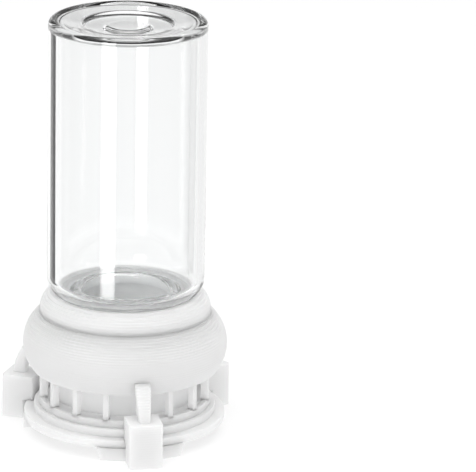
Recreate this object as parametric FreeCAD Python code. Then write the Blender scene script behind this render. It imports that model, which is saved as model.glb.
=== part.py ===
import FreeCAD, Part
import math
import os

# Passive carbon dioxide diffuser: an upside-down glass vial screwed into a clear plastic
# bell that stands over a ring-shaped base.  Water and gas pass between the cage slats.
# Frame: origin on the vertical axis at table level, +Z up, claw 1 at -Y.  Millimetres.

# ---------------------------------------------------------------- driving dimensions
LEG_COUNT = 3
LEG_STEP_DEG = 360.0 / LEG_COUNT
FIRST_LEG_DEG = -90.0

# base
FOOT_HEIGHT = 1.8
FOOT_R_IN = 10.4
FOOT_R_OUT = 14.2
FOOT_HALF_DEG_BOTTOM = 23.2
FOOT_HALF_DEG_TOP = 25.7

RING_BOTTOM_Z = FOOT_HEIGHT
RING_TREAD_Z = 2.9
RING_STEP_Z = 4.0
RING_TOP_Z = 5.1
RING_R_TREAD = 14.1
RING_R_UNDERSIDE = 13.8
RING_CHAMFER_TOP_Z = 2.2
RING_R_STEP = 12.75
RING_R_TOP = 12.1
RING_R_HOOP_SEAT = 11.35
RING_R_GRID_SEAT = 10.4
RING_R_BORE = 9.4
GRID_BOTTOM_Z = 2.6
GRID_TOP_Z = 3.6
GRID_R = 10.3
DISH_PEG_R = 1.5
PEG_CLEARANCE = 0.05
GRID_HOLES = ((12, 6.4, 0.7), (18, 7.9, 0.6))    # count, circle radius, hole radius

DISH_R_OUT = 9.5
DISH_R_IN = 8.7
DISH_FLOOR = 0.8
DISH_RIM_Z = 8.1
DISH_BEND = 0.15

SLAT_COUNT = 16
SLAT_R_OUT = 12.05
SLAT_R_IN = 10.95
SLAT_WIDTH = 0.8
HOOP_R_IN = 9.9
HOOP_R_OUT = 11.25
UPPER_HOOP_Z = 9.3
CAGE_TOP_Z = 10.3

# bell, collar and funnel
BELL_LIP_Z = 9.2
BELL_LIP_R = 12.98
BELL_WAIST_R = 14.24
BELL_WAIST_Z = 13.41
BELL_TOP_Z = 17.3
BELL_TOP_R = 11.9
BELL_WALL = 1.3
BELL_SOCKET_R = 12.35
BELL_SOCKET_Z = 10.6
BELL_SOCKET_CHAMFER = 0.1
BELL_BORE_R = 9.95

COLLAR_RIM_Z = 20.2
COLLAR_RIM_R = 10.45
COLLAR_BROW_Z = 19.1
COLLAR_BROW_R = 11.6
COLLAR_FOOT_R = 11.9
SLEEVE_R_OUT = 9.9
SLEEVE_R_IN = 8.75
SLEEVE_BOTTOM_Z = 10.4
SEAL_SEAT_Z = 18.9
SEAL_SEAT_R = 9.75

FUNNEL_HOOP_R_OUT = 10.8
FUNNEL_HOOP_TOP_Z = 12.2
FUNNEL_R_THROAT = 6.4
FUNNEL_WALL = 0.7
FUNNEL_RIM_Z = 8.6
FUNNEL_THROAT_Z = 9.1
FUNNEL_ROOF_Z = 9.5
FUNNEL_CLEARANCE = 0.02

# claws
CLAW_WIDTH = 4.7
CLAW_R_IN = 12.95
CLAW_R_SHANK = 14.35
CLAW_R_OUT = 17.6
CLAW_BOTTOM_Z = 0.1
CLAW_TOP_Z = 6.3
FIN_HEEL_R = 14.7
FIN_TOE_R = 16.6
FIN_FLANK = (15.95, 8.8)
FIN_TIP = (13.9, 11.4)
FIN_ROOT = (13.2, 10.4)
FIN_ARMPIT = (14.45, 8.7)
FIN_FOOT_WIDTH = 1.55
FIN_HEAD_WIDTH = 2.15
FIN_HEAD_Z = 10.5

# glass vial and its washer
VIAL_R = 11.0
VIAL_WALL = 1.1
VIAL_TOP_Z = 59.2
VIAL_CORNER_R = 0.8
STAND_R = 9.6
DISH_DEPTH = 0.8
DISH_STEP = 0.5
DISH_STEP_R = (5.95, 6.45)
BOSS_RISE = 0.4
BOSS_R = (2.75, 3.45)
VIAL_BASE_WALL = 0.9
ROOF_SAG = 1.0
ROOF_FLAT_R = 3.0
ROOF_BROW = (6.5, 57.74)
INNER_CORNER_R = 0.6
SHOULDER_Z = 22.4
SHOULDER_R = 2.7
SHOULDER_GAP = 0.15
SHOULDER_WALL = 1.0
INNER_SHOULDER_R = 1.9
THROAT_R = 0.7
NECK_R = 7.8
NECK_BORE_R = 6.1
NECK_LIP_R = 0.4
MOUTH_Z = 10.2
SEAL_R_IN = 7.95
SEAL_R_OUT = 9.6

# screw thread between the vial neck and the collar sleeve (right-handed)
THREAD_PITCH = 3.0
THREAD_CREST_R = 8.5
THREAD_INNER_R = 8.05
RIDGE_WIDTH = 1.0
RIDGE_ROOT_SINK = 0.2
RIDGE_TAPER = 0.25
MALE_RIDGE_Z = 11.4
MALE_TURNS = 1.5
FEMALE_TURNS = 1.5

X_AXIS = FreeCAD.Vector(1, 0, 0)
Z_AXIS = FreeCAD.Vector(0, 0, 1)
ORIGIN = FreeCAD.Vector(0, 0, 0)


# ---------------------------------------------------------------- helpers
def point(radius, height):
    """A point of the radial half-plane, radius along X and height along Z."""
    return FreeCAD.Vector(radius, 0, height)


def outline(start, *steps):
    """Closed wire in the radial half-plane.

    A step of two numbers is a straight run to that point; a step of two points is an
    arc through the first to the second.
    """
    edges = []
    here = start
    for step in steps + (start,):
        if isinstance(step[0], tuple):
            through, end = step
            edges.append(Part.Arc(point(*here), point(*through), point(*end)).toShape())
        else:
            end = step
            if end != here:
                edges.append(Part.LineSegment(point(*here), point(*end)).toShape())
        here = end
    return Part.Wire(edges)


def lathe(start, *steps, angle=360):
    """Solid of revolution about the vertical axis."""
    return Part.Face(outline(start, *steps)).revolve(ORIGIN, Z_AXIS, angle)


def polar(centre, radius, degrees):
    """Point (radius, height) on a circle drawn in the radial half-plane."""
    turn = math.radians(degrees)
    return (centre[0] + radius * math.cos(turn), centre[1] + radius * math.sin(turn))


def circle_radius_at(centre, radius, height):
    """Outer crossing of a circle in the radial half-plane with a level line."""
    return centre[0] + math.sqrt(radius ** 2 - (height - centre[1]) ** 2)


def circle_through(a, b, c):
    """Centre and radius of the circle through three points."""
    circle = Part.Circle(point(*a), point(*b), point(*c))
    return (circle.Center.x, circle.Center.z), circle.Radius


def turned(shape, degrees):
    """Copy of a shape turned about the vertical axis."""
    copy = shape.copy()
    copy.rotate(ORIGIN, Z_AXIS, degrees)
    return copy


def slab(points, half_width):
    """Plate of constant thickness, drawn in the radial half-plane, centred on it."""
    face = Part.Face(outline(*points))
    face.translate(FreeCAD.Vector(0, -half_width, 0))
    return face.extrude(FreeCAD.Vector(0, 2 * half_width, 0))


def helical_ridge(root_r, crest_r, start_z, turns):
    """Thread ridge of trapezium section that climbs anticlockwise seen from above."""
    half_root = RIDGE_WIDTH / 2
    half_crest = half_root - RIDGE_TAPER
    section = outline((root_r, start_z - half_root), (crest_r, start_z - half_crest),
                      (crest_r, start_z + half_crest), (root_r, start_z + half_root))
    path = Part.makeHelix(THREAD_PITCH, THREAD_PITCH * turns, root_r)
    path.translate(FreeCAD.Vector(0, 0, start_z))
    return Part.Wire(path).makePipeShell([section], True, True)


def save(name, shape):
    """Write one sub-part and print its size, so a bad solid is noticed."""
    if not shape.isValid() or shape.Volume <= 0:
        raise RuntimeError(name + " is not a valid solid")
    shape.exportStep("parts/" + name + ".step")
    box = shape.BoundBox
    print(f"{name:14s} solids {len(shape.Solids)}  volume {shape.Volume:9.2f}  "
          f"z {box.ZMin:6.2f} to {box.ZMax:6.2f}")


# ---------------------------------------------------------------- base
def base_ring():
    """Stepped ring with seats for the floor grid and the cage hoop."""
    return lathe((RING_R_BORE, RING_BOTTOM_Z), (RING_R_UNDERSIDE, RING_BOTTOM_Z),
                 (RING_R_TREAD, RING_CHAMFER_TOP_Z), (RING_R_TREAD, RING_TREAD_Z),
                 (RING_R_STEP, RING_TREAD_Z), (RING_R_STEP, RING_STEP_Z),
                 (RING_R_TOP, RING_STEP_Z), (RING_R_TOP, RING_TOP_Z),
                 (RING_R_HOOP_SEAT, RING_TOP_Z), (RING_R_HOOP_SEAT, GRID_TOP_Z),
                 (RING_R_GRID_SEAT, GRID_TOP_Z), (RING_R_GRID_SEAT, GRID_BOTTOM_Z),
                 (RING_R_BORE, GRID_BOTTOM_Z))


def sector(half_deg, height):
    """Triangle from the axis that covers a sector, at one height."""
    reach = FOOT_R_OUT * 1.3
    turn = math.radians(half_deg)
    side = reach * math.sin(turn)
    ahead = reach * math.cos(turn)
    corners = [FreeCAD.Vector(0, 0, height), FreeCAD.Vector(ahead, -side, height),
               FreeCAD.Vector(ahead, side, height), FreeCAD.Vector(0, 0, height)]
    return Part.makePolygon(corners)


def foot():
    """Pad under the ring, a piece of an annulus that widens upward."""
    pad = lathe((FOOT_R_IN, 0), (FOOT_R_OUT, 0), (FOOT_R_OUT, FOOT_HEIGHT),
                (FOOT_R_IN, FOOT_HEIGHT))
    wedge = Part.makeLoft([sector(FOOT_HALF_DEG_BOTTOM, 0),
                           sector(FOOT_HALF_DEG_TOP, FOOT_HEIGHT)], True, True)
    return pad.common(wedge).Solids[0]


def flow_holes(bottom_z, top_z):
    """Circles of upright pins that pierce a floor between two heights."""
    pins = []
    for count, circle_r, hole_r in GRID_HOLES:
        pin = Part.makeCylinder(hole_r, top_z - bottom_z, point(circle_r, bottom_z))
        pins += [turned(pin, 360.0 * i / count) for i in range(count)]
    return pins


def floor_grid():
    """Perforated floor disc with a socket for the dish peg."""
    thickness = GRID_TOP_Z - GRID_BOTTOM_Z
    disc = Part.makeCylinder(GRID_R, thickness, point(0, GRID_BOTTOM_Z))
    socket = Part.makeCylinder(DISH_PEG_R, thickness, point(0, GRID_BOTTOM_Z))
    return disc.cut(Part.makeCompound([socket] + flow_holes(GRID_BOTTOM_Z, GRID_TOP_Z))).Solids[0]


def tablet_dish():
    """Wide dish behind the slats, its floor pierced like the grid that its peg centres it in."""
    floor_z = GRID_TOP_Z + DISH_FLOOR
    peg_r = DISH_PEG_R - PEG_CLEARANCE
    corner = (DISH_R_IN - DISH_BEND, floor_z + DISH_BEND)
    dish = lathe((0, GRID_BOTTOM_Z), (peg_r, GRID_BOTTOM_Z), (peg_r, GRID_TOP_Z),
                 (DISH_R_OUT, GRID_TOP_Z), (DISH_R_OUT, DISH_RIM_Z), (DISH_R_IN, DISH_RIM_Z),
                 (DISH_R_IN, corner[1]),
                 (polar(corner, DISH_BEND, -45), (corner[0], floor_z)),
                 (0, floor_z))
    return dish.cut(Part.makeCompound(flow_holes(GRID_TOP_Z, floor_z))).Solids[0]


def slat_cage():
    """Two hoops joined by upright slats; the windows between them let water through."""
    lower = lathe((HOOP_R_IN, GRID_TOP_Z), (HOOP_R_OUT, GRID_TOP_Z),
                  (HOOP_R_OUT, RING_TOP_Z), (HOOP_R_IN, RING_TOP_Z))
    upper = lathe((SLAT_R_IN, UPPER_HOOP_Z), (SLAT_R_OUT, UPPER_HOOP_Z),
                  (SLAT_R_OUT, CAGE_TOP_Z), (SLAT_R_IN, CAGE_TOP_Z))
    band = lathe((SLAT_R_IN, RING_TOP_Z), (SLAT_R_OUT, RING_TOP_Z),
                 (SLAT_R_OUT, UPPER_HOOP_Z), (SLAT_R_IN, UPPER_HOOP_Z))
    plate = slab(((0, RING_TOP_Z), (BELL_WAIST_R, RING_TOP_Z), (BELL_WAIST_R, UPPER_HOOP_Z),
                  (0, UPPER_HOOP_Z)), SLAT_WIDTH / 2)
    slat = band.common(plate).Solids[0]
    slats = [turned(slat, FIRST_LEG_DEG + 360.0 * i / SLAT_COUNT) for i in range(SLAT_COUNT)]
    return lower.fuse(slats + [upper]).removeSplitter().Solids[0]


# ---------------------------------------------------------------- housing
def bell_outer_solid():
    """Filled outer form of the bell, used to seat the claws on it."""
    return lathe((0, BELL_LIP_Z), (BELL_LIP_R, BELL_LIP_Z),
                 ((BELL_WAIST_R, BELL_WAIST_Z), (BELL_TOP_R, BELL_TOP_Z)), (0, BELL_TOP_Z))


def bell_housing():
    """Hollow bulging bell, open below, with a socket that the cage enters."""
    centre, radius = circle_through((BELL_LIP_R, BELL_LIP_Z), (BELL_WAIST_R, BELL_WAIST_Z),
                                    (BELL_TOP_R, BELL_TOP_Z))
    inner = radius - BELL_WALL
    roof_z = BELL_TOP_Z - BELL_WALL
    roof_r = circle_radius_at(centre, inner, roof_z)
    socket_r = circle_radius_at(centre, inner, BELL_SOCKET_Z)
    return lathe((BELL_SOCKET_R, BELL_LIP_Z), (BELL_LIP_R, BELL_LIP_Z),
                 ((BELL_WAIST_R, BELL_WAIST_Z), (BELL_TOP_R, BELL_TOP_Z)),
                 (BELL_BORE_R, BELL_TOP_Z), (BELL_BORE_R, roof_z), (roof_r, roof_z),
                 ((centre[0] + inner, centre[1]), (socket_r, BELL_SOCKET_Z)),
                 (BELL_SOCKET_R, BELL_SOCKET_Z - BELL_SOCKET_CHAMFER))


def vial_collar():
    """Collar that cups the vial shoulder, with a threaded sleeve hanging inside the bell."""
    centre = (VIAL_R - SHOULDER_R, SHOULDER_Z)
    cup = SHOULDER_R + SHOULDER_GAP
    cup_foot_z = SHOULDER_Z - math.sqrt(cup ** 2 - (SEAL_SEAT_R - centre[0]) ** 2)
    cup_rim_r = circle_radius_at(centre, cup, COLLAR_RIM_Z)
    cup_mid_z = (cup_foot_z + COLLAR_RIM_Z) / 2
    cup_mid_r = circle_radius_at(centre, cup, cup_mid_z)
    body = lathe((SLEEVE_R_IN, SLEEVE_BOTTOM_Z), (SLEEVE_R_OUT, SLEEVE_BOTTOM_Z),
                 (SLEEVE_R_OUT, BELL_TOP_Z), (COLLAR_FOOT_R, BELL_TOP_Z),
                 ((COLLAR_BROW_R, COLLAR_BROW_Z), (COLLAR_RIM_R, COLLAR_RIM_Z)),
                 (cup_rim_r, COLLAR_RIM_Z), ((cup_mid_r, cup_mid_z), (SEAL_SEAT_R, cup_foot_z)),
                 (SEAL_SEAT_R, SEAL_SEAT_Z), (SLEEVE_R_IN, SEAL_SEAT_Z))
    thread = helical_ridge(SLEEVE_R_IN + RIDGE_ROOT_SINK, THREAD_INNER_R,
                           MALE_RIDGE_Z + THREAD_PITCH / 2, FEMALE_TURNS)
    return body.fuse(thread).Solids[0]


def gas_funnel():
    """Shallow cone under the vial mouth, held by a hoop round the collar sleeve."""
    hoop_r_in = SLEEVE_R_OUT + FUNNEL_CLEARANCE
    return lathe((FUNNEL_R_THROAT, FUNNEL_THROAT_Z), (FUNNEL_HOOP_R_OUT, FUNNEL_RIM_Z),
                 (FUNNEL_HOOP_R_OUT, FUNNEL_HOOP_TOP_Z), (hoop_r_in, FUNNEL_HOOP_TOP_Z),
                 (hoop_r_in, FUNNEL_ROOF_Z),
                 (FUNNEL_R_THROAT, FUNNEL_THROAT_Z + FUNNEL_WALL))


def claw():
    """Claw that stands on the ring's tread, with a fin that carries the bell."""
    block = slab(((CLAW_R_SHANK, CLAW_BOTTOM_Z), (CLAW_R_OUT, CLAW_BOTTOM_Z),
                  (CLAW_R_OUT, CLAW_TOP_Z), (CLAW_R_IN, CLAW_TOP_Z), (CLAW_R_IN, RING_TREAD_Z),
                  (CLAW_R_SHANK, RING_TREAD_Z)), CLAW_WIDTH / 2)
    fin = slab(((FIN_HEEL_R, RING_TREAD_Z), (FIN_TOE_R, RING_TREAD_Z), (FIN_TOE_R, CLAW_TOP_Z),
                (FIN_FLANK, FIN_TIP), FIN_ROOT, (FIN_ARMPIT, (FIN_HEEL_R, CLAW_TOP_Z))),
               FIN_HEAD_WIDTH / 2)
    head = FIN_HEAD_WIDTH / 2
    toe = FIN_FOOT_WIDTH / 2
    taper = [(-toe, 0), (toe, 0), (toe, CLAW_TOP_Z), (head, FIN_HEAD_Z), (head, BELL_TOP_Z),
             (-head, BELL_TOP_Z), (-head, FIN_HEAD_Z), (-toe, CLAW_TOP_Z), (-toe, 0)]
    taper_face = Part.Face(Part.makePolygon([FreeCAD.Vector(0, y, z) for y, z in taper]))
    fin = fin.common(taper_face.extrude(X_AXIS * 2 * CLAW_R_OUT))
    whole = block.fuse(fin).cut(bell_outer_solid())
    return max(whole.Solids, key=lambda solid: solid.Volume)


# ---------------------------------------------------------------- vial and washer
def neck_seal():
    """Soft washer clamped between the vial shoulder and the collar."""
    shoulder_foot_z = SHOULDER_Z - SHOULDER_R
    return lathe((SEAL_R_IN, SEAL_SEAT_Z), (SEAL_R_OUT, SEAL_SEAT_Z),
                 (SEAL_R_OUT, shoulder_foot_z), (SEAL_R_IN, shoulder_foot_z))


def dished(radius, extra=0.0):
    """Point of the vial's dished closed end, sunk by an extra depth."""
    return (radius, VIAL_TOP_Z - DISH_DEPTH * (1 - (radius / STAND_R) ** 2) - extra)


def dished_arc(start_r, end_r, extra=0.0):
    """Arc step along the dished end between two radii."""
    return (dished((start_r + end_r) / 2, extra), dished(end_r, extra))


def glass_vial():
    """Tubing vial, standing on its mouth: dished end up, shoulder and threaded neck down."""
    shoulder = (VIAL_R - SHOULDER_R, SHOULDER_Z)
    shoulder_foot_z = SHOULDER_Z - SHOULDER_R
    corner = (VIAL_R - VIAL_CORNER_R, VIAL_TOP_Z - VIAL_CORNER_R)
    boss_extra = DISH_STEP - BOSS_RISE

    bore_r = VIAL_R - VIAL_WALL
    roof_z = VIAL_TOP_Z - VIAL_BASE_WALL
    inner_top = (bore_r - INNER_CORNER_R, roof_z - INNER_CORNER_R)
    inner_foot = (bore_r - INNER_SHOULDER_R, shoulder_foot_z + SHOULDER_WALL + INNER_SHOULDER_R)
    throat = (NECK_BORE_R + THROAT_R, shoulder_foot_z + SHOULDER_WALL - THROAT_R)
    lip = (NECK_R - NECK_LIP_R, MOUTH_Z + NECK_LIP_R)
    inner_lip = (NECK_BORE_R + NECK_LIP_R, MOUTH_Z + NECK_LIP_R)

    body = lathe(
        (0, dished(BOSS_R[0], boss_extra)[1]),
        dished(BOSS_R[0], boss_extra),
        dished(BOSS_R[1], DISH_STEP),
        dished_arc(BOSS_R[1], DISH_STEP_R[0], DISH_STEP),
        dished(DISH_STEP_R[1]),
        dished_arc(DISH_STEP_R[1], STAND_R),
        (corner[0], VIAL_TOP_Z),
        (polar(corner, VIAL_CORNER_R, 45), (VIAL_R, corner[1])),
        (VIAL_R, SHOULDER_Z),
        (polar(shoulder, SHOULDER_R, -45), (shoulder[0], shoulder_foot_z)),
        (NECK_R, shoulder_foot_z),
        (NECK_R, lip[1]),
        (polar(lip, NECK_LIP_R, -45), (lip[0], MOUTH_Z)),
        (inner_lip[0], MOUTH_Z),
        (polar(inner_lip, NECK_LIP_R, -135), (NECK_BORE_R, inner_lip[1])),
        (NECK_BORE_R, throat[1]),
        (polar(throat, THROAT_R, 135), (throat[0], throat[1] + THROAT_R)),
        (inner_foot[0], inner_foot[1] - INNER_SHOULDER_R),
        (polar(inner_foot, INNER_SHOULDER_R, -45), (bore_r, inner_foot[1])),
        (bore_r, inner_top[1]),
        (polar(inner_top, INNER_CORNER_R, 45), (inner_top[0], roof_z)),
        (ROOF_BROW, (ROOF_FLAT_R, roof_z - ROOF_SAG)),
        (0, roof_z - ROOF_SAG))
    thread = helical_ridge(NECK_R - RIDGE_ROOT_SINK, THREAD_CREST_R, MALE_RIDGE_Z, MALE_TURNS)
    return body.fuse(thread).Solids[0]


# ---------------------------------------------------------------- write the sub-parts
save("base_ring", base_ring())
save("floor_grid", floor_grid())
save("tablet_dish", tablet_dish())
save("slat_cage", slat_cage())
save("bell_housing", bell_housing())
save("vial_collar", vial_collar())
save("gas_funnel", gas_funnel())
save("neck_seal", neck_seal())
save("glass_vial", glass_vial())
for number in range(LEG_COUNT):
    turn = FIRST_LEG_DEG + number * LEG_STEP_DEG
    save(f"foot_{number + 1}", turned(foot(), turn))
    save(f"claw_{number + 1}", turned(claw(), turn))
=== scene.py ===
import math

import bpy
import numpy as np
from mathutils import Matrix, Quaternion, Vector


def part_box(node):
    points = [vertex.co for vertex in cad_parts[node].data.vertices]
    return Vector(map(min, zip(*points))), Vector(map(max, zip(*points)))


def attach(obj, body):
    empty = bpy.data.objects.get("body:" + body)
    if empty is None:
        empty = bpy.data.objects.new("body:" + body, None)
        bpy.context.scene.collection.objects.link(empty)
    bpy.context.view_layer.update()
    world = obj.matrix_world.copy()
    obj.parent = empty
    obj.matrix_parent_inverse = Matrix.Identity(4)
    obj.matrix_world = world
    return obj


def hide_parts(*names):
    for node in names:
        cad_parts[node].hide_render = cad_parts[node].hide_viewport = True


# A passive carbon dioxide diffuser: clear glass vial, upside down in a cloudy printed
# plastic bell on a ring-shaped base.  Lengths in metres, row frame: +Z up, claw 1 at -Y.

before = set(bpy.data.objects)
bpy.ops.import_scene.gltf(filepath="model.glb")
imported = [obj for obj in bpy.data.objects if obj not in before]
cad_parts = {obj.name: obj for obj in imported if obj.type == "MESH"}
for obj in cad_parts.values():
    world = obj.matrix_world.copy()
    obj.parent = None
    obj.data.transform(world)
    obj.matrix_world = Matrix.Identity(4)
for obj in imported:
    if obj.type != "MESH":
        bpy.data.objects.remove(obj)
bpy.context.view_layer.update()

MM = 0.001
LEG_COUNT = 3
FIRST_LEG = math.radians(-90)

# ------------------------------------------------------------------ sizes read from the frame
RING_LOW, RING_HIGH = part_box("base_ring")
FOOT_HIGH = RING_LOW.z
RING_R = RING_HIGH.x
RING_TOP = RING_HIGH.z
CAGE_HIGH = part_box("slat_cage")[1]
SLAT_R_OUT = CAGE_HIGH.x
CAGE_TOP = CAGE_HIGH.z
BELL_LOW, BELL_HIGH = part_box("bell_housing")
BELL_LIP = BELL_LOW.z
BELL_TOP = BELL_HIGH.z
COLLAR_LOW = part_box("vial_collar")[0]
SEAL_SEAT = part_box("neck_seal")[0].z
VIAL_LOW, VIAL_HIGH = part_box("glass_vial")
VIAL_R = VIAL_HIGH.x
CLAW_LOW, CLAW_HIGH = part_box("claw_1")
CLAW_R_OUT = -CLAW_LOW.y
CLAW_HALF = CLAW_HIGH.x

# ------------------------------------------------------------------ print and mesh fineness
LAYER = 0.35 * MM
BEAD = 0.011 * MM
SMEAR = 0.6
SEGMENTS = 288
VIEW_AZIMUTH = -10.0
BEAD_STEPS = (0.06, 0.25, 0.5, 0.75, 0.94)
ON_AXIS = 1e-7
CORNER_STEPS = 4
CORNER_OF_HALF = 0.95
CORNER_OF_WIDTH = 0.48


# ------------------------------------------------------------------ mesh helpers
def make_object(name, verts, faces, sharp_deg=35):
    """Object from a list of points and faces, smooth except at its real edges."""
    mesh = bpy.data.meshes.new(name)
    mesh.from_pydata([tuple(v) for v in verts], [], faces)
    mesh.validate()
    mesh.shade_smooth()
    mesh.set_sharp_from_angle(angle=math.radians(sharp_deg))
    piece = bpy.data.objects.new(name, mesh)
    bpy.context.scene.collection.objects.link(piece)
    return piece


class Shell:
    """Gathers points and faces of one piece that may have several closed parts."""

    def __init__(self):
        self.verts = []
        self.faces = []

    def add(self, verts, faces):
        start = len(self.verts)
        self.verts += verts
        self.faces += [tuple(start + i for i in face) for face in faces]

    def build(self, name, sharp_deg=35):
        return make_object(name, self.verts, self.faces, sharp_deg)


def lathe(profile, relief=None):
    """Closed surface of revolution.

    The profile runs anticlockwise round the section, radius to the right.  Either it is a
    loop, or it starts and ends on the axis.  Relief adds to a point's radius, by its place.
    """
    verts = []
    rows = []
    for radius, height in profile:
        if radius < ON_AXIS:
            rows.append([len(verts)] * SEGMENTS)
            verts.append((0.0, 0.0, height))
            continue
        rows.append(list(range(len(verts), len(verts) + SEGMENTS)))
        for i in range(SEGMENTS):
            angle = 2 * math.pi * i / SEGMENTS
            r = radius + (relief(radius, height, angle) if relief else 0.0)
            verts.append((r * math.cos(angle), r * math.sin(angle), height))
    pairs = list(zip(rows, rows[1:]))
    if profile[0][0] >= ON_AXIS:
        pairs.append((rows[-1], rows[0]))
    faces = []
    for lower, upper in pairs:
        for i in range(SEGMENTS):
            j = (i + 1) % SEGMENTS
            corner = []
            for v in (lower[i], lower[j], upper[j], upper[i]):
                if v not in corner:
                    corner.append(v)
            if len(corner) > 2:
                faces.append(tuple(corner))
    return verts, faces


def loft(sections):
    """Closed solid through level rings of points, each ring (height, [(x, y), ...])."""
    verts = []
    count = len(sections[0][1])
    for height, ring in sections:
        verts += [(x, y, height) for x, y in ring]
    faces = [tuple(reversed(range(count)))]
    for k in range(len(sections) - 1):
        low = k * count
        for i in range(count):
            j = (i + 1) % count
            faces.append((low + i, low + j, low + count + j, low + count + i))
    last = (len(sections) - 1) * count
    faces.append(tuple(range(last, last + count)))
    return verts, faces


def arc(centre, radius, start_deg, end_deg, steps):
    """Points of a round stretch of a profile, both ends included."""
    points = []
    for i in range(steps + 1):
        turn = math.radians(start_deg + (end_deg - start_deg) * i / steps)
        points.append((centre[0] + radius * math.cos(turn),
                       centre[1] + radius * math.sin(turn)))
    return points


def layer_levels(low, high):
    """Height, share of bead and height that gives the size, for each point of a printed wall.

    Without smear, a layer has the size of its middle all the way up, which makes stairs.
    """
    count = max(1, round((high - low) / LAYER))
    step = (high - low) / count
    levels = []
    for k in range(count):
        middle = low + (k + 0.5) * step
        for t in BEAD_STEPS:
            height = low + (k + t) * step
            levels.append((height, (2 * t - 1) ** 2, between(middle, height, SMEAR)))
    return levels


def printed_wall(radius_at, low, high, side=1):
    """Upward profile of a printed wall, one rounded bead a layer.

    Side is 1 where the solid lies towards the axis, and -1 where it lies outside.
    """
    return [(radius_at(middle) - side * BEAD * share, height)
            for height, share, middle in layer_levels(low, high)]


def between(low, high, share):
    return low + (high - low) * share


def ease(share):
    """Smooth step from 0 to 1."""
    share = min(1.0, max(0.0, share))
    return share * share * (3 - 2 * share)


def turned(verts, angle):
    """Points turned about the vertical axis."""
    c = math.cos(angle)
    s = math.sin(angle)
    return [(c * x - s * y, s * x + c * y, z) for x, y, z in verts]


def leg_angle(number):
    return FIRST_LEG + 2 * math.pi * number / LEG_COUNT


def show(piece, node, body, material):
    """Puts a piece in place of its CAD node, on its body, with its finish."""
    piece.data.materials.append(material)
    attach(piece, body)
    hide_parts(node)


# ------------------------------------------------------------------ materials
def new_material(name):
    material = bpy.data.materials.new(name)
    material.use_nodes = True
    nodes = material.node_tree.nodes
    shader = nodes["Principled BSDF"]
    return material, nodes, material.node_tree.links, shader


def grey(tone):
    return (tone, tone, tone, 1)


def mottle(links, nodes, noise, shader, dark, pale):
    """Colours a surface between two greys by a noise."""
    mix = nodes.new("ShaderNodeMix")
    mix.data_type = "RGBA"
    mix.inputs["A"].default_value = dark
    mix.inputs["B"].default_value = pale
    links.new(noise.outputs["Fac"], mix.inputs["Factor"])
    links.new(mix.outputs["Result"], shader.inputs["Base Color"])


def printed_plastic(name, tone, dark_tone, reach, roughness):
    """Cloudy printed plastic: light passes a little way in, with faint uneven melt marks."""
    material, nodes, links, shader = new_material(name)
    place = nodes.new("ShaderNodeTexCoord")
    cloud = nodes.new("ShaderNodeTexNoise")
    cloud.inputs["Scale"].default_value = 180
    cloud.inputs["Detail"].default_value = 4
    links.new(place.outputs["Object"], cloud.inputs["Vector"])
    mottle(links, nodes, cloud, shader, grey(dark_tone), grey(tone))

    stretch = nodes.new("ShaderNodeMapping")
    stretch.inputs["Scale"].default_value = (60, 60, 2800)
    links.new(place.outputs["Object"], stretch.inputs["Vector"])
    grain = nodes.new("ShaderNodeTexNoise")
    grain.inputs["Scale"].default_value = 1.0
    grain.inputs["Detail"].default_value = 3
    links.new(stretch.outputs["Vector"], grain.inputs["Vector"])
    bump = nodes.new("ShaderNodeBump")
    bump.inputs["Strength"].default_value = 0.03
    bump.inputs["Distance"].default_value = 0.00005
    links.new(grain.outputs["Fac"], bump.inputs["Height"])
    links.new(bump.outputs["Normal"], shader.inputs["Normal"])

    shader.inputs["Roughness"].default_value = roughness
    shader.inputs["IOR"].default_value = 1.46
    shader.inputs["Subsurface Weight"].default_value = 1.0
    shader.inputs["Subsurface Radius"].default_value = (1.0, 1.0, 1.0)
    shader.inputs["Subsurface Scale"].default_value = reach
    return material


def vial_glass():
    """Clear tubing glass with faint drawing lines along its length."""
    material, nodes, links, shader = new_material("vial_glass")
    place = nodes.new("ShaderNodeTexCoord")
    stretch = nodes.new("ShaderNodeMapping")
    stretch.inputs["Scale"].default_value = (220, 220, 6)
    links.new(place.outputs["Object"], stretch.inputs["Vector"])
    drawing = nodes.new("ShaderNodeTexNoise")
    drawing.inputs["Scale"].default_value = 1.0
    drawing.inputs["Detail"].default_value = 2
    links.new(stretch.outputs["Vector"], drawing.inputs["Vector"])
    bump = nodes.new("ShaderNodeBump")
    bump.inputs["Strength"].default_value = 0.06
    bump.inputs["Distance"].default_value = 0.00002
    links.new(drawing.outputs["Fac"], bump.inputs["Height"])
    links.new(bump.outputs["Normal"], shader.inputs["Normal"])
    shader.inputs["Base Color"].default_value = (0.985, 0.99, 0.99, 1)
    shader.inputs["Roughness"].default_value = 0.0
    shader.inputs["IOR"].default_value = 1.47
    shader.inputs["Transmission Weight"].default_value = 1.0
    return material


def plain(name, tone, roughness):
    """Floor paint with a barely visible mottle."""
    material, nodes, links, shader = new_material(name)
    cloud = nodes.new("ShaderNodeTexNoise")
    cloud.inputs["Scale"].default_value = 3
    mottle(links, nodes, cloud, shader, grey(tone * 0.99), grey(tone))
    shader.inputs["Roughness"].default_value = roughness
    return material


PRINT = printed_plastic("clear_print", tone=0.83, dark_tone=0.81, reach=0.0035, roughness=0.6)
SOLID_PRINT = printed_plastic("solid_print", tone=0.78, dark_tone=0.76, reach=0.0025, roughness=0.6)
# A paler copy of the printed plastic for the grid, dish and funnel: painted light that brightens
# the shaded inside of the cage.
INNER_PRINT_WITH_PAINTED_LIGHT = printed_plastic("inner_print_with_painted_light", tone=0.97, dark_tone=0.96, reach=0.0035, roughness=0.6)
RUBBER = printed_plastic("seal_silicone", tone=0.96, dark_tone=0.94, reach=0.004, roughness=0.5)
GLASS = vial_glass()

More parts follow.
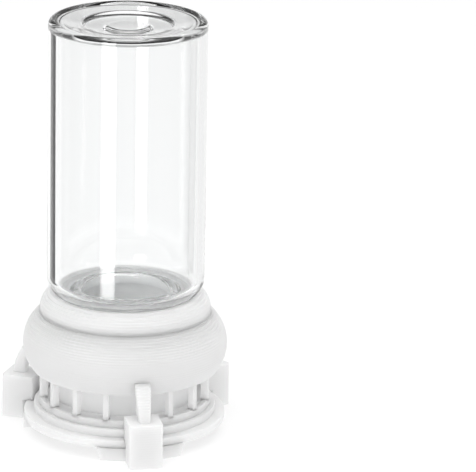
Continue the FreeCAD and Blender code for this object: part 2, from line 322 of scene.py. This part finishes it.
# ------------------------------------------------------------------ base ring and feet
RING_BORE = 9.4 * MM
RING_STEP_R = 12.75 * MM
RING_TOP_R = 12.1 * MM
RING_TREAD = 2.9 * MM
RING_STEP = 4.0 * MM
TIER_EDGE = 0.3 * MM
TIER_ROUNDING = 0.12 * MM
HOOP_SEAT_R = 11.35 * MM
GRID_SEAT_R = 10.4 * MM
GRID_LOW, GRID_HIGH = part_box("floor_grid")
FOOT_R_IN = 10.4 * MM
FOOT_R_OUT = 14.2 * MM
FOOT_HALF_LOW = math.radians(23.2)
FOOT_HALF_HIGH = math.radians(25.7)
FOOT_STEPS = 24


def ring_tier(radius, low, high):
    """One printed tier of the ring, its edges a little rounded."""
    def radius_at(height):
        from_edge = min(height - low, high - height)
        return radius - max(0.0, 1 - from_edge / TIER_EDGE) * TIER_ROUNDING

    return printed_wall(radius_at, low, high)


def make_base_ring():
    profile = [(RING_BORE, RING_LOW.z)]
    profile += ring_tier(RING_R, RING_LOW.z, RING_TREAD)
    profile += ring_tier(RING_STEP_R, RING_TREAD, RING_STEP)
    profile += ring_tier(RING_TOP_R, RING_STEP, RING_TOP)
    profile += [(HOOP_SEAT_R, RING_TOP), (HOOP_SEAT_R, GRID_HIGH.z),
                (GRID_SEAT_R, GRID_HIGH.z), (GRID_SEAT_R, GRID_LOW.z), (RING_BORE, GRID_LOW.z)]
    ring = Shell()
    ring.add(*lathe(profile))
    show(ring.build("printed_base_ring"), "base_ring", "base", SOLID_PRINT)


def sector_ring(half, inset):
    """Ring of points of a piece of an annulus, each side drawn in a little."""
    axis = (0.0, 0.0)
    outer = math.degrees(half - inset / FOOT_R_OUT)
    inner = math.degrees(half - inset / FOOT_R_IN)
    return (arc(axis, FOOT_R_OUT - inset, -outer, outer, FOOT_STEPS)
            + arc(axis, FOOT_R_IN + inset, inner, -inner, FOOT_STEPS))


def make_feet():
    for number in range(LEG_COUNT):
        sections = []
        for height, share, middle in layer_levels(0.0, FOOT_HIGH):
            half = between(FOOT_HALF_LOW, FOOT_HALF_HIGH, middle / FOOT_HIGH)
            sections.append((height, sector_ring(half, BEAD * share)))
        verts, faces = loft(sections)
        foot = Shell()
        foot.add(turned(verts, leg_angle(number)), faces)
        node = f"foot_{number + 1}"
        show(foot.build("printed_" + node), node, "base", SOLID_PRINT)


# ------------------------------------------------------------------ slat cage
SLAT_COUNT = 16
SLAT_R_IN = 10.95 * MM
SLAT_HALF = 0.4 * MM
HOOP_R_IN = 9.9 * MM
HOOP_R_OUT = 11.25 * MM
UPPER_HOOP = 9.3 * MM
SLAT_SINK = 0.2 * MM
SLAT_CORNER = 0.15 * MM


def rounded_box(x_low, x_high, half, corner):
    """Ring of points of a rectangle with round corners, anticlockwise."""
    corner = min(corner, half * CORNER_OF_HALF, (x_high - x_low) * CORNER_OF_WIDTH)
    right = x_high - corner
    left = x_low + corner
    top = half - corner
    return (arc((right, -top), corner, -90, 0, CORNER_STEPS)
            + arc((right, top), corner, 0, 90, CORNER_STEPS)
            + arc((left, top), corner, 90, 180, CORNER_STEPS)
            + arc((left, -top), corner, 180, 270, CORNER_STEPS))


def make_cage():
    cage = Shell()
    cage.add(*lathe([(HOOP_R_IN, GRID_HIGH.z), (HOOP_R_OUT, GRID_HIGH.z)]
                    + printed_wall(lambda z: HOOP_R_OUT, GRID_HIGH.z, RING_TOP)
                    + [(HOOP_R_IN, RING_TOP)]))
    cage.add(*lathe([(SLAT_R_IN, UPPER_HOOP)]
                    + printed_wall(lambda z: SLAT_R_OUT, UPPER_HOOP, CAGE_TOP)
                    + [(SLAT_R_IN, CAGE_TOP)]))
    for number in range(SLAT_COUNT):
        sections = []
        for height, share, middle in layer_levels(RING_TOP - SLAT_SINK, UPPER_HOOP + SLAT_SINK):
            inset = BEAD * share
            sections.append((height, rounded_box(SLAT_R_IN + inset, SLAT_R_OUT - inset,
                                                 SLAT_HALF - inset, SLAT_CORNER)))
        verts, faces = loft(sections)
        cage.add(turned(verts, FIRST_LEG + 2 * math.pi * number / SLAT_COUNT), faces)
    show(cage.build("printed_cage"), "slat_cage", "base", PRINT)


# ------------------------------------------------------------------ bell and collar
LIP_R = 12.98 * MM
BELL_TOP_R = 11.9 * MM
BELL_BULGE = (14.24 * MM, 13.41 * MM)
BELL_WALL = 1.3 * MM
SOCKET_R = 12.35 * MM
BELL_BORE = 9.95 * MM
CREASE_REACH = 0.5 * MM


def circle_through(a, b, c):
    """Centre and radius of the circle through three points of the section."""
    rows = np.array([[b[0] - a[0], b[1] - a[1]], [c[0] - a[0], c[1] - a[1]]]) * 2
    sums = np.array([b[0] ** 2 - a[0] ** 2 + b[1] ** 2 - a[1] ** 2,
                     c[0] ** 2 - a[0] ** 2 + c[1] ** 2 - a[1] ** 2])
    centre = np.linalg.solve(rows, sums)
    return centre, math.hypot(a[0] - centre[0], a[1] - centre[1])


BELL_CENTRE, BELL_ARC = circle_through((LIP_R, BELL_LIP), BELL_BULGE, (BELL_TOP_R, BELL_TOP))

COLLAR_FOOT_R = 11.9 * MM
COLLAR_BULGE = (11.6 * MM, 19.1 * MM)
COLLAR_RIM_R = 10.45 * MM
COLLAR_RIM = 20.2 * MM
COLLAR_CENTRE, COLLAR_ARC = circle_through((COLLAR_FOOT_R, BELL_TOP), COLLAR_BULGE,
                                           (COLLAR_RIM_R, COLLAR_RIM))


def bell_radius(height, inset=0.0):
    return BELL_CENTRE[0] + math.sqrt((BELL_ARC - inset) ** 2 - (height - BELL_CENTRE[1]) ** 2)


def collar_radius(height):
    return COLLAR_CENTRE[0] + math.sqrt(COLLAR_ARC ** 2 - (height - COLLAR_CENTRE[1]) ** 2)


def outer_face(height):
    """Radius of bell and collar, with a soft curve through the crease between them."""
    low = BELL_TOP - CREASE_REACH
    high = BELL_TOP + CREASE_REACH
    if height < low:
        return bell_radius(height)
    if height > high:
        return collar_radius(height)
    nudge = 0.01 * MM
    span = high - low
    low_slope = (bell_radius(low) - bell_radius(low - nudge)) / nudge * span
    high_slope = (collar_radius(high + nudge) - collar_radius(high)) / nudge * span
    t = (height - low) / span
    return (between(bell_radius(low), collar_radius(high), ease(t))
            + t * (1 - t) * ((1 - t) * low_slope - t * high_slope))


def make_bell():
    roof = BELL_TOP - BELL_WALL
    profile = [(SOCKET_R, BELL_LIP)]
    profile += printed_wall(outer_face, BELL_LIP, BELL_TOP)
    profile += [(BELL_BORE, BELL_TOP), (BELL_BORE, roof)]
    inner = printed_wall(lambda z: max(SOCKET_R, bell_radius(z, BELL_WALL)), BELL_LIP, roof, -1)
    profile += reversed(inner)
    bell = Shell()
    bell.add(*lathe(profile))
    show(bell.build("printed_bell"), "bell_housing", "housing", PRINT)


SLEEVE_R_OUT = 9.9 * MM
SLEEVE_R_IN = 8.75 * MM
SEAL_SEAT_R = 9.75 * MM
SHOULDER = 22.4 * MM
SHOULDER_R = 2.7 * MM
SHOULDER_GAP = 0.15 * MM
CUP_FOOT = SEAL_SEAT + 1.05 * MM


def cup_radius(height):
    cup = SHOULDER_R + SHOULDER_GAP
    return (VIAL_R - SHOULDER_R) + math.sqrt(cup ** 2 - (SHOULDER - height) ** 2)


def make_collar():
    profile = [(SLEEVE_R_IN, COLLAR_LOW.z)]
    profile += printed_wall(lambda z: SLEEVE_R_OUT, COLLAR_LOW.z, BELL_TOP)
    profile += printed_wall(outer_face, BELL_TOP, COLLAR_RIM)
    cup = printed_wall(lambda z: max(SEAL_SEAT_R, cup_radius(z)), CUP_FOOT, COLLAR_RIM, -1)
    profile += reversed(cup)
    profile += [(SEAL_SEAT_R, SEAL_SEAT), (SLEEVE_R_IN, SEAL_SEAT)]
    collar = Shell()
    collar.add(*lathe(profile))
    show(collar.build("printed_collar"), "vial_collar", "housing", PRINT)


# ------------------------------------------------------------------ claws
CLAW_R_IN = 12.95 * MM
CLAW_SHANK_R = 14.35 * MM
CLAW_TOP = 6.3 * MM
FIN_TOP = 11.3 * MM
FIN_OUT = ((6.3, 16.6), (7.1, 16.45), (8.1, 16.2), (9.0, 15.8), (10.0, 15.3), (10.8, 14.75),
           (11.3, 14.1))
FIN_IN = ((6.3, 14.7), (7.4, 14.65), (8.6, 14.5), (9.6, 14.0), (10.4, 13.4), (11.3, 13.3))
FIN_HALF = ((6.3, 0.78), (10.5, 1.07))
CLAW_CORNER = 0.3 * MM
FIN_CORNER = 0.35 * MM


def along(table, height):
    """Value of a short list of (height, value) pairs at one height, both in millimetres."""
    heights = [h for h, _ in table]
    values = [v for _, v in table]
    return float(np.interp(height / MM, heights, values)) * MM


def make_claws():
    for number in range(LEG_COUNT):
        sections = []
        for height, share, middle in layer_levels(CLAW_LOW.z, CLAW_TOP):
            inset = BEAD * share
            r_in = CLAW_SHANK_R if middle < RING_TREAD else CLAW_R_IN
            sections.append((height, rounded_box(r_in + inset, CLAW_R_OUT - inset,
                                                 CLAW_HALF - inset, CLAW_CORNER)))
        for height, share, middle in layer_levels(CLAW_TOP, FIN_TOP):
            inset = BEAD * share
            sections.append((height, rounded_box(along(FIN_IN, middle) + inset,
                                                 along(FIN_OUT, middle) - inset,
                                                 along(FIN_HALF, middle) - inset, FIN_CORNER)))
        verts, faces = loft(sections)
        claw = Shell()
        claw.add(turned(verts, leg_angle(number)), faces)
        node = f"claw_{number + 1}"
        show(claw.build("printed_" + node), node, "housing", SOLID_PRINT)


# ------------------------------------------------------------------ glass vial
NECK_R = 7.8 * MM
NECK_BORE = 6.1 * MM
STAND_R = 9.6 * MM
DISH_DEPTH = 0.8 * MM
STEP_R = 6.2 * MM
STEP_DEPTH = 0.5 * MM
STEP_SLOPE = 0.5 * MM
BOSS_R = 3.1 * MM
BOSS_RISE = 0.4 * MM
BOSS_SLOPE = 0.7 * MM
ROOF_SAG = 1.1 * MM
VIAL_WALL = 1.1 * MM
THREAD_PITCH = 3.0 * MM
THREAD_START = 11.4 * MM
THREAD_TURNS = 1.5
THREAD_RISE = 0.7 * MM
RIDGE_HALF = 0.5 * MM
THREAD_FADE = 0.12
SAME_RADIUS = 1e-6
GLASS_SHARP = 80
DISH_POINTS = 40
NECK_POINTS = 90


def thread_relief(radius, height, angle):
    """Height of the round thread ridge on the outside of the neck."""
    if abs(radius - NECK_R) > SAME_RADIUS:
        return 0.0
    rise = 0.0
    for lap in range(int(THREAD_TURNS) + 1):
        run = angle / (2 * math.pi) + lap
        fade = min(1.0, run / THREAD_FADE, (THREAD_TURNS - run) / THREAD_FADE)
        if fade <= 0:
            continue
        off = abs(height - (THREAD_START + THREAD_PITCH * run)) / RIDGE_HALF
        if off < 1:
            rise = max(rise, fade * THREAD_RISE * (0.5 + 0.5 * math.cos(math.pi * off)))
    return rise


def make_vial():
    corner = 0.8 * MM
    top = VIAL_HIGH.z
    bore = VIAL_R - VIAL_WALL
    shoulder_foot = SHOULDER - SHOULDER_R
    lip = 0.4 * MM
    mouth = VIAL_LOW.z
    shoulder_wall = 1.0 * MM
    inner_bend = 1.9 * MM
    inner_foot = shoulder_foot + shoulder_wall + inner_bend
    throat_bend = 0.7 * MM
    inner_corner = 0.6 * MM
    base_wall = 0.9 * MM
    roof_edge = bore - inner_corner
    profile = []
    for i in range(DISH_POINTS):
        radius = roof_edge * i / DISH_POINTS
        profile.append((radius, top - base_wall - ROOF_SAG * (1 - (radius / roof_edge) ** 2)))
    profile += arc((roof_edge, top - base_wall - inner_corner), inner_corner, 90, 0, 16)
    profile += reversed(arc((bore - inner_bend, inner_foot), inner_bend, -90, 0, 20))
    profile += arc((NECK_BORE + throat_bend, shoulder_foot + shoulder_wall - throat_bend),
                   throat_bend, 90, 180, 10)
    profile += arc((NECK_BORE + lip, mouth + lip), lip, 180, 270, 8)
    profile += arc((NECK_R - lip, mouth + lip), lip, -90, 0, 8)
    profile += [(NECK_R, between(mouth + lip, shoulder_foot, (i + 1) / NECK_POINTS))
                for i in range(NECK_POINTS)]
    profile += arc((VIAL_R - SHOULDER_R, SHOULDER), SHOULDER_R, -90, 0, 30)
    profile += arc((VIAL_R - corner, top - corner), corner, 0, 90, 24)
    for i in range(DISH_POINTS):
        radius = STAND_R * (1 - (i + 1) / DISH_POINTS)
        profile.append((radius, top - punt_depth(radius)))
    vial = Shell()
    vial.add(*lathe(profile, thread_relief))
    show(vial.build("clear_vial", GLASS_SHARP), "glass_vial", "vial", GLASS)


def punt_depth(radius):
    """Depth of the closed end's soft dish, with a step and a low boss in its middle."""
    dish = DISH_DEPTH * (1 - min(1.0, radius / STAND_R) ** 2)
    step = STEP_DEPTH * ease((STEP_R - radius) / STEP_SLOPE + 0.5)
    boss = BOSS_RISE * ease((BOSS_R - radius) / BOSS_SLOPE + 0.5)
    return dish + step - boss


# ------------------------------------------------------------------ inner pieces
def finish_inner():
    """The inner pieces keep their CAD shapes and get their finish: the grid, dish and funnel a
    paler copy of the printed plastic, painted light that brightens the shaded inside of the cage.
    """
    for node, material in (("floor_grid", INNER_PRINT_WITH_PAINTED_LIGHT), ("tablet_dish", INNER_PRINT_WITH_PAINTED_LIGHT),
                           ("gas_funnel", INNER_PRINT_WITH_PAINTED_LIGHT), ("neck_seal", RUBBER)):
        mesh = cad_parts[node].data
        mesh.materials.clear()
        mesh.materials.append(material)


# ------------------------------------------------------------------ stage, light, camera
BLACK = 0.01
WHITE = 1.0
EDGE_BEARINGS = range(75, 305, 10)


def make_stage():
    floor = bpy.data.meshes.new("floor")
    half = 3.0
    floor.from_pydata([(-half, -half, 0), (half, -half, 0), (half, half, 0), (-half, half, 0)],
                      [], [(0, 1, 2, 3)])
    ground = bpy.data.objects.new("floor", floor)
    bpy.context.scene.collection.objects.link(ground)
    paint = plain("pale_floor", tone=0.5, roughness=0.9)
    glow = paint.node_tree.nodes["Principled BSDF"]
    glow.inputs["Emission Color"].default_value = (1, 1, 1, 1)
    glow.inputs["Emission Strength"].default_value = 0.49
    floor.materials.append(paint)


def show_in_edges_only(nodes, links, shader):
    """Makes a card clear to light that has not been turned back inside the glass wall."""
    path = nodes.new("ShaderNodeLightPath")
    turns_inside = nodes.new("ShaderNodeMath")
    turns_inside.operation = "MULTIPLY"
    links.new(path.outputs["Glossy Depth"], turns_inside.inputs[0])
    links.new(path.outputs["Transmission Depth"], turns_inside.inputs[1])
    turned_back = nodes.new("ShaderNodeMath")
    turned_back.operation = "GREATER_THAN"
    turned_back.inputs[1].default_value = 0.5
    links.new(turns_inside.outputs["Value"], turned_back.inputs[0])
    clear = nodes.new("ShaderNodeBsdfTransparent")
    choice = nodes.new("ShaderNodeMixShader")
    links.new(turned_back.outputs["Value"], choice.inputs["Fac"])
    links.new(clear.outputs["BSDF"], choice.inputs[1])
    links.new(shader.outputs["BSDF"], choice.inputs[2])
    links.new(choice.outputs["Shader"], nodes["Material Output"].inputs["Surface"])


def stand_card(name, bearing_deg, distance, width, height, low, tone, strength, edges=False):
    """Upright card that faces the object: a dark flag, or a bright strip if it glows.

    The bearing is measured round the object from the side away from the camera.  With
    edges, the card draws the vial's edge lines but is not seen straight through the vial.
    """
    bearing = math.radians(VIEW_AZIMUTH + 180 + bearing_deg)
    centre = Vector((math.sin(bearing), -math.cos(bearing), 0)) * distance
    across = Vector((math.cos(bearing), math.sin(bearing), 0)) * width / 2
    mesh = bpy.data.meshes.new(name)
    corners = [centre - across, centre + across, centre + across, centre - across]
    heights = (low, low, low + height, low + height)
    mesh.from_pydata([(c.x, c.y, h) for c, h in zip(corners, heights)], [], [(0, 1, 2, 3)])
    card = bpy.data.objects.new(name, mesh)
    bpy.context.scene.collection.objects.link(card)
    material, nodes, links, shader = new_material(name)
    shader.inputs["Base Color"].default_value = grey(tone)
    shader.inputs["Roughness"].default_value = 1.0
    shader.inputs["Specular IOR Level"].default_value = 0.0
    shader.inputs["Emission Color"].default_value = (1, 1, 1, 1)
    shader.inputs["Emission Strength"].default_value = strength
    if edges:
        show_in_edges_only(nodes, links, shader)
    mesh.materials.append(material)
    card.visible_camera = False
    card.visible_diffuse = False
    card.visible_shadow = False


def make_cards():
    """Cards that only the glass shows: they draw its dark edges and its bright streaks."""
    stand_card("black_flag", bearing_deg=46, distance=0.046, width=0.0165, height=0.06,
               low=0.0, tone=BLACK, strength=0.0, edges=True)
    stand_card("pale_flag", bearing_deg=-39, distance=0.051, width=0.036, height=0.06,
               low=0.0, tone=BLACK, strength=0.88)
    stand_card("grey_flag", bearing_deg=-51, distance=0.063, width=0.006, height=0.06,
               low=0.0, tone=BLACK, strength=0.3, edges=True)
    stand_card("strip_light", bearing_deg=155, distance=0.06, width=0.02, height=0.09,
               low=0.0, tone=WHITE, strength=7.0)
    # a fence of flags on the other sides, for the edges in the views from round the object
    for bearing in EDGE_BEARINGS:
        stand_card(f"edge_flag_{bearing}", bearing, distance=0.075, width=0.0132, height=0.09,
                   low=0.0, tone=BLACK, strength=0.45, edges=True)
    stand_card("roof", bearing_deg=0, distance=0.25, width=0.5, height=0.35,
               low=0.2, tone=BLACK, strength=0.0)


# Brightness of the sky by how far its direction rises (sine): bright at the horizon and
# overhead, dark between, so that the glass edges draw dark lines.
SKY = ((0.12, 0.9), (0.3, 0.1), (0.6, 0.1), (0.72, 1.0))


def soft_lamp(name, place, width, height, energy):
    """Area lamp aimed at the object, kept out of mirror reflections and the glass."""
    lamp = bpy.data.lights.new(name, "AREA")
    lamp.shape = "RECTANGLE"
    lamp.size = width
    lamp.size_y = height
    lamp.energy = energy
    box = bpy.data.objects.new(name, lamp)
    bpy.context.scene.collection.objects.link(box)
    box.location = place
    box.visible_glossy = False
    box.visible_transmission = False
    box.rotation_mode = "QUATERNION"
    box.rotation_quaternion = (-box.location).to_track_quat("-Z", "Y")


def make_light():
    scene = bpy.context.scene
    scene.view_settings.view_transform = "Standard"
    scene.cycles.blur_glossy = 0.0
    scene.cycles.max_bounces = 80
    scene.cycles.diffuse_bounces = 60
    scene.cycles.glossy_bounces = 30
    scene.cycles.transmission_bounces = 40
    world = bpy.data.worlds.new("studio")
    scene.world = world
    world.use_nodes = True
    nodes = world.node_tree.nodes
    links = world.node_tree.links
    direction = nodes.new("ShaderNodeTexCoord")
    parts = nodes.new("ShaderNodeSeparateXYZ")
    links.new(direction.outputs["Generated"], parts.inputs["Vector"])
    ramp = nodes.new("ShaderNodeValToRGB")
    stops = ramp.color_ramp.elements
    stops.remove(stops[1])
    for number, (rise, glow) in enumerate(SKY):
        stop = stops[0] if number == 0 else stops.new(rise)
        stop.position = rise
        stop.color = (glow, glow, glow, 1)
    links.new(parts.outputs["Z"], ramp.inputs["Fac"])
    links.new(ramp.outputs["Color"], nodes["Background"].inputs["Color"])
    soft_lamp("softbox", (-0.05, -0.45, 0.3), width=0.5, height=0.35, energy=0.6)
    soft_lamp("left_box", (-0.5, -0.2, 0.25), width=0.5, height=0.3, energy=0.4)
    soft_lamp("right_box", (0.5, -0.2, 0.25), width=0.5, height=0.3, energy=0.4)
    soft_lamp("ceiling", (0, 0, 0.8), width=1.2, height=1.2, energy=3.4)


def make_camera():
    azimuth = math.radians(VIEW_AZIMUTH)
    elevation = math.radians(18.79)
    distance = 0.6219
    aim = Vector((0, 0, 0.0133))
    pan = math.radians(1.456)
    tilt = math.radians(1.30)
    lean = math.radians(0.55)
    back = Vector((math.sin(azimuth) * math.cos(elevation),
                   -math.cos(azimuth) * math.cos(elevation), math.sin(elevation)))
    data = bpy.data.cameras.new("camera")
    data.sensor_width = 36
    data.lens = 335.8
    data.clip_start = 0.01
    camera = bpy.data.objects.new("camera", data)
    bpy.context.scene.collection.objects.link(camera)
    camera.location = aim + back * distance
    camera.rotation_mode = "QUATERNION"
    look = (-back).to_track_quat("-Z", "Y")
    camera.rotation_quaternion = (look @ Quaternion((0, 0, 1), lean)
                                  @ Quaternion((0, 1, 0), -pan) @ Quaternion((1, 0, 0), tilt))
    bpy.context.scene.camera = camera


make_camera()
make_light()
make_stage()
make_cards()
make_base_ring()
make_feet()
make_cage()
make_bell()
make_collar()
make_claws()
make_vial()
finish_inner()
